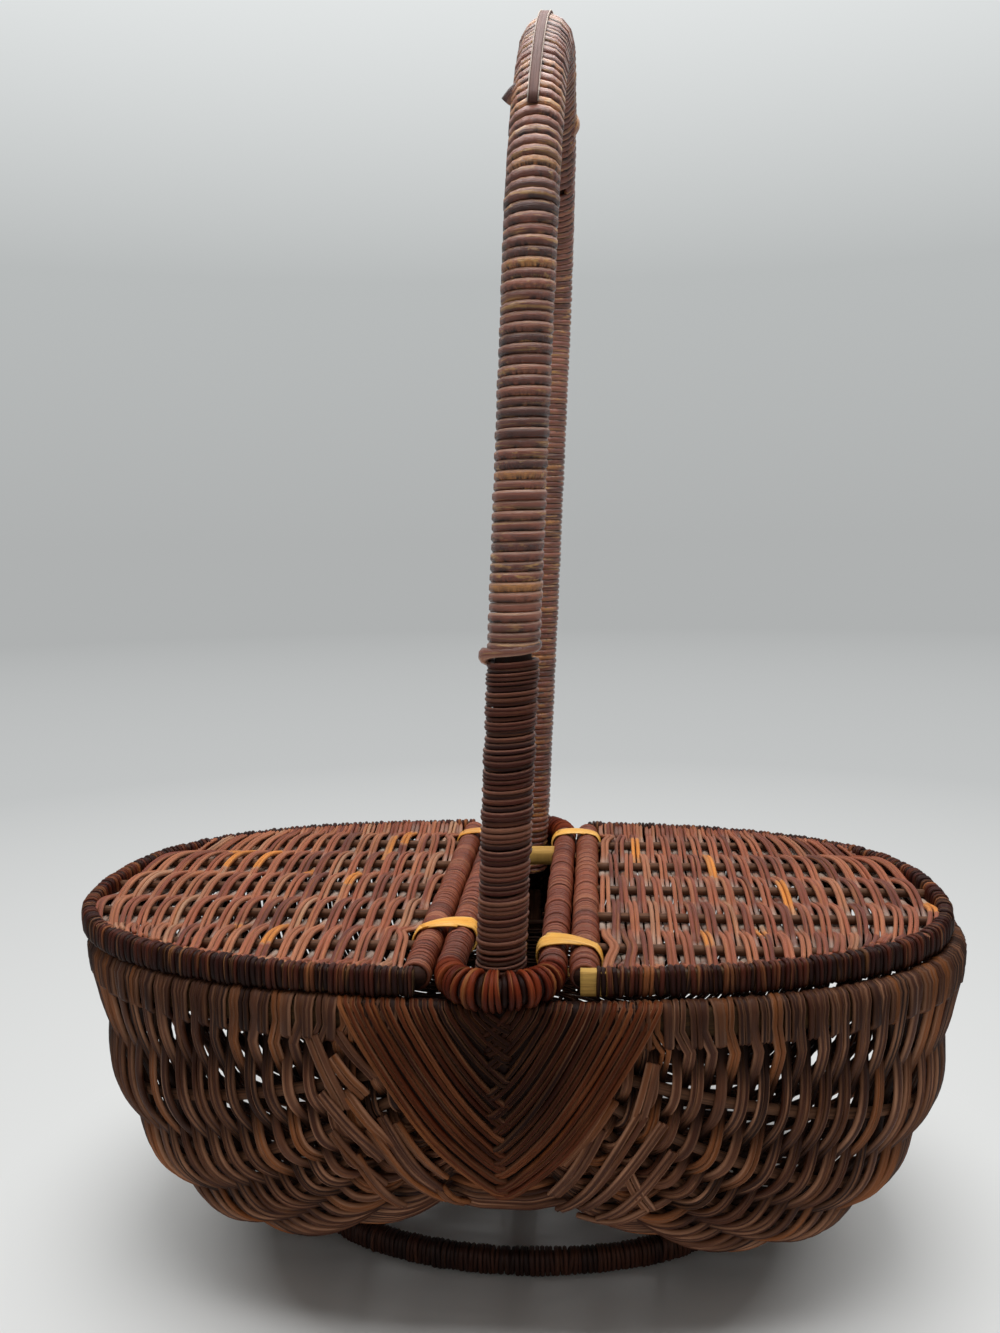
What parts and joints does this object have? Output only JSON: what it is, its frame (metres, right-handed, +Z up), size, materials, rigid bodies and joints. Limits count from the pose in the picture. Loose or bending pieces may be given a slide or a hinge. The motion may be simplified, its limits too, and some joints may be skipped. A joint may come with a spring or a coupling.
{
  "type": "gathering basket",
  "caption": "Oval woven cane basket with lobed bottom, tall fixed hoop handle bound in cane, and half lids that hinge on rods tied to a centre loop.",
  "frame": {"origin": "on the floor under the middle of the foot ring, midway between the handle's legs", "axes": "+X along the basket towards the right lid, +Y from the front lashing to the back lashing, +Z up"},
  "size_m": [0.401, 0.253, 0.5435],
  "materials": {
    "body_cane": "dark brown stained split cane and willow, worn, satin",
    "stained_cane": "red-brown stained cane winding, satin",
    "lid_cane": "red-brown stained cane weave with orange and grey-brown strands, satin",
    "bare_wood": "unstained pale wood, matt",
    "golden_cane": "flat golden natural cane, slightly glossy"
  },
  "bodies": {
    "basket": {"rim_hoop": "bare_wood", "keel": "body_cane", "body_weave_left": "body_cane", "body_weave_right": "body_cane", "body_rib_left_1": "body_cane", "body_rib_left_2": "body_cane", "body_rib_left_3": "body_cane", "body_rib_left_4": "body_cane", "body_rib_left_5": "body_cane", "body_rib_right_1": "body_cane", "body_rib_right_2": "body_cane", "body_rib_right_3": "body_cane", "body_rib_right_4": "body_cane", "body_rib_right_5": "body_cane", "lashing_front": "stained_cane", "lashing_back": "stained_cane", "foot_ring": "body_cane", "handle_core": "bare_wood", "handle_wrap_front_lower": "stained_cane", "handle_wrap_front_coil": "stained_cane", "handle_wrap_front_upper": "stained_cane", "handle_wrap_top": "stained_cane", "handle_wrap_back": "stained_cane", "handle_splint": "stained_cane", "centre_loop": "stained_cane", "cross_bar": "bare_wood", "tie_left_front": "golden_cane", "tie_left_back": "golden_cane", "tie_right_front": "golden_cane", "tie_right_back": "golden_cane"},
    "lid_left": {"lid_left_rim": "lid_cane", "lid_left_hinge_rod": "lid_cane", "lid_left_panel": "lid_cane", "lid_left_rib_1": "lid_cane", "lid_left_rib_2": "lid_cane", "lid_left_rib_3": "lid_cane", "lid_left_rib_4": "lid_cane", "lid_left_rib_5": "lid_cane"},
    "lid_right": {"lid_right_rim": "lid_cane", "lid_right_hinge_rod": "lid_cane", "lid_right_panel": "lid_cane", "lid_right_rib_1": "lid_cane", "lid_right_rib_2": "lid_cane", "lid_right_rib_3": "lid_cane", "lid_right_rib_4": "lid_cane", "lid_right_rib_5": "lid_cane"}
  },
  "joints": [
    {"name": "lid_left_hinge", "type": "hinge", "parent": "basket", "child": "lid_left", "pos_m": [-0.0325, 0, 0.157], "axis": [0, 1, 0], "range_deg": [0, 100]},
    {"name": "lid_right_hinge", "type": "hinge", "parent": "basket", "child": "lid_right", "pos_m": [0.0325, 0, 0.157], "axis": [0, -1, 0], "range_deg": [0, 95]}
  ]
}
